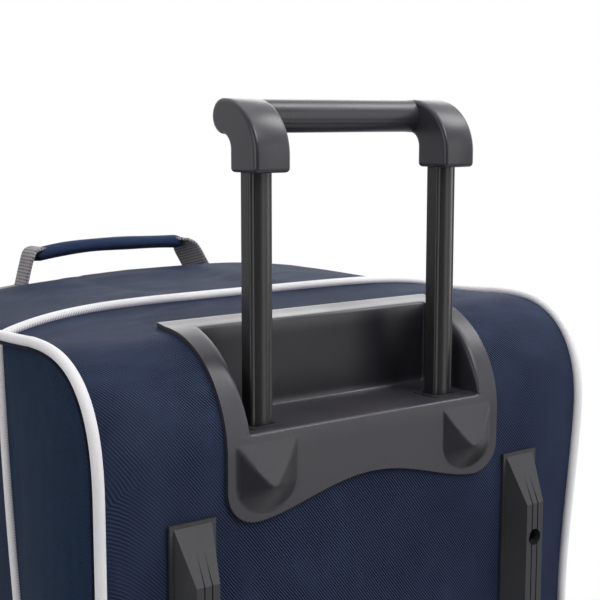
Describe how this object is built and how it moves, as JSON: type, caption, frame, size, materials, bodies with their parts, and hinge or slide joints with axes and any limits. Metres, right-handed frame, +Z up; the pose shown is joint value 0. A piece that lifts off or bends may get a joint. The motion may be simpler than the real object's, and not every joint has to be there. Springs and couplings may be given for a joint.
{
  "type": "wheeled hockey equipment bag",
  "caption": "Upright wheeled fabric equipment bag with a sliding trolley handle, piped seams, skid rails, grab handles and a full-height zipped flap.",
  "frame": {"origin": "on the floor under the centre of the whole bag's box, bag upright on its wheels and feet", "axes": "+Z up, -Y towards the wheeled back with the trolley handle, +Y towards the zipped front, X across the bag"},
  "size_m": [0.52, 0.518, 1.108],
  "materials": {
    "navy_fabric": "dyed woven polyester, fine diagonal weave, satin sheen",
    "navy_lining": "plain woven zipper tape",
    "white_piping": "white coated cord cover with stitched edge",
    "grey_webbing": "ribbed woven webbing",
    "stiffener_board": "plain sheet",
    "housing_plastic": "fine-grained satin moulding",
    "grip_plastic": "fine-grained satin moulding with a parting line",
    "rail_plastic": "satin moulding, scuffed lands",
    "black_tube": "black anodised, drawn lines along the length",
    "bare_tube": "plain drawn aluminium",
    "inner_plastic": "plain moulding",
    "zip_metal": "dark nickel plate",
    "screw_steel": "zinc-plated steel",
    "tyre_rubber": "matte moulded rubber",
    "hub_plastic": "satin moulding",
    "foot_rubber": "matte moulded rubber"
  },
  "bodies": {
    "shell": {"rear_panel": "navy_fabric", "side_gusset_left": "navy_fabric", "side_gusset_right": "navy_fabric", "front_shell": "navy_fabric", "piping_centre": "white_piping", "piping_left": "white_piping", "piping_right": "white_piping", "back_board": "stiffener_board", "base_board": "stiffener_board", "base_plate": "housing_plastic", "main_zip_tape": "navy_lining", "handle_housing": "housing_plastic", "housing_screws": "screw_steel", "guide_bush_left": "inner_plastic", "guide_bush_right": "inner_plastic", "outer_tube_left": "bare_tube", "outer_tube_right": "bare_tube", "tube_bracket": "inner_plastic", "bracket_screws": "screw_steel", "skid_rail_left": "rail_plastic", "skid_rail_right": "rail_plastic", "rail_screws": "screw_steel", "rail_nuts": "screw_steel", "wheel_housing_left": "rail_plastic", "wheel_housing_right": "rail_plastic", "axle_left": "screw_steel", "axle_right": "screw_steel", "axle_clips": "screw_steel", "front_foot_left": "foot_rubber", "front_foot_right": "foot_rubber", "foot_screws": "screw_steel", "grab_handle_patches": "grey_webbing", "side_handle_patches": "grey_webbing"},
    "trolley": {"handle_grip": "grip_plastic", "inner_tube_left": "black_tube", "inner_tube_right": "black_tube", "tube_plug_left": "inner_plastic", "tube_plug_right": "inner_plastic"},
    "wheel_left": {"wheel_tyre_left": "tyre_rubber", "wheel_hub_left": "hub_plastic", "wheel_bearings_left": "screw_steel"},
    "wheel_right": {"wheel_tyre_right": "tyre_rubber", "wheel_hub_right": "hub_plastic", "wheel_bearings_right": "screw_steel"},
    "flap": {"main_flap": "navy_fabric"},
    "slider_upper": {"zip_slider_upper": "zip_metal"},
    "slider_lower": {"zip_slider_lower": "zip_metal"},
    "pull_upper": {"zip_pull_upper": "inner_plastic"},
    "pull_lower": {"zip_pull_lower": "inner_plastic"},
    "grab_handle": {"grab_handle_wrap": "navy_fabric", "grab_handle_webbing": "grey_webbing"},
    "side_handle_left": {"side_handle_left_wrap": "navy_fabric", "side_handle_left_webbing": "grey_webbing"},
    "side_handle_right": {"side_handle_right_wrap": "navy_fabric", "side_handle_right_webbing": "grey_webbing"}
  },
  "joints": [
    {"name": "trolley_slide", "type": "slide", "parent": "shell", "child": "trolley", "axis": [0, 0, 1], "range_m": [-0.184, 0]},
    {"name": "wheel_left_spin", "type": "hinge", "parent": "shell", "child": "wheel_left", "pos_m": [-0.19, -0.217, 0.042], "axis": [1, 0, 0], "continuous": true},
    {"name": "wheel_right_spin", "type": "hinge", "parent": "shell", "child": "wheel_right", "pos_m": [0.19, -0.217, 0.042], "axis": [1, 0, 0], "continuous": true},
    {"name": "flap_hinge", "type": "hinge", "parent": "shell", "child": "flap", "pos_m": [-0.17, 0.243, 0.48], "axis": [0, 0, 1], "range_deg": [0, 160]},
    {"name": "zip_upper_slide", "type": "slide", "parent": "shell", "child": "slider_upper", "axis": [0, 0, 1], "range_m": [0, 0.235]},
    {"name": "zip_lower_slide", "type": "slide", "parent": "shell", "child": "slider_lower", "axis": [0, 0, 1], "range_m": [-0.26, 0]},
    {"name": "pull_upper_swing", "type": "hinge", "parent": "slider_upper", "child": "pull_upper", "pos_m": [0.177, 0.2565, 0.522], "axis": [1, 0, 0], "range_deg": [0, 165]},
    {"name": "pull_lower_swing", "type": "hinge", "parent": "slider_lower", "child": "pull_lower", "pos_m": [0.177, 0.2565, 0.466], "axis": [1, 0, 0], "range_deg": [0, 165]},
    {"name": "grab_handle_fold", "type": "hinge", "parent": "shell", "child": "grab_handle", "pos_m": [0, 0.178, 0.942], "axis": [1, 0, 0], "range_deg": [-60, 40]},
    {"name": "side_handle_left_fold", "type": "hinge", "parent": "shell", "child": "side_handle_left", "pos_m": [-0.231, 0.073, 0.5], "axis": [0, 0, 1], "range_deg": [-55, 55]},
    {"name": "side_handle_right_fold", "type": "hinge", "parent": "shell", "child": "side_handle_right", "pos_m": [0.231, 0.073, 0.5], "axis": [0, 0, 1], "range_deg": [-55, 55]}
  ]
}
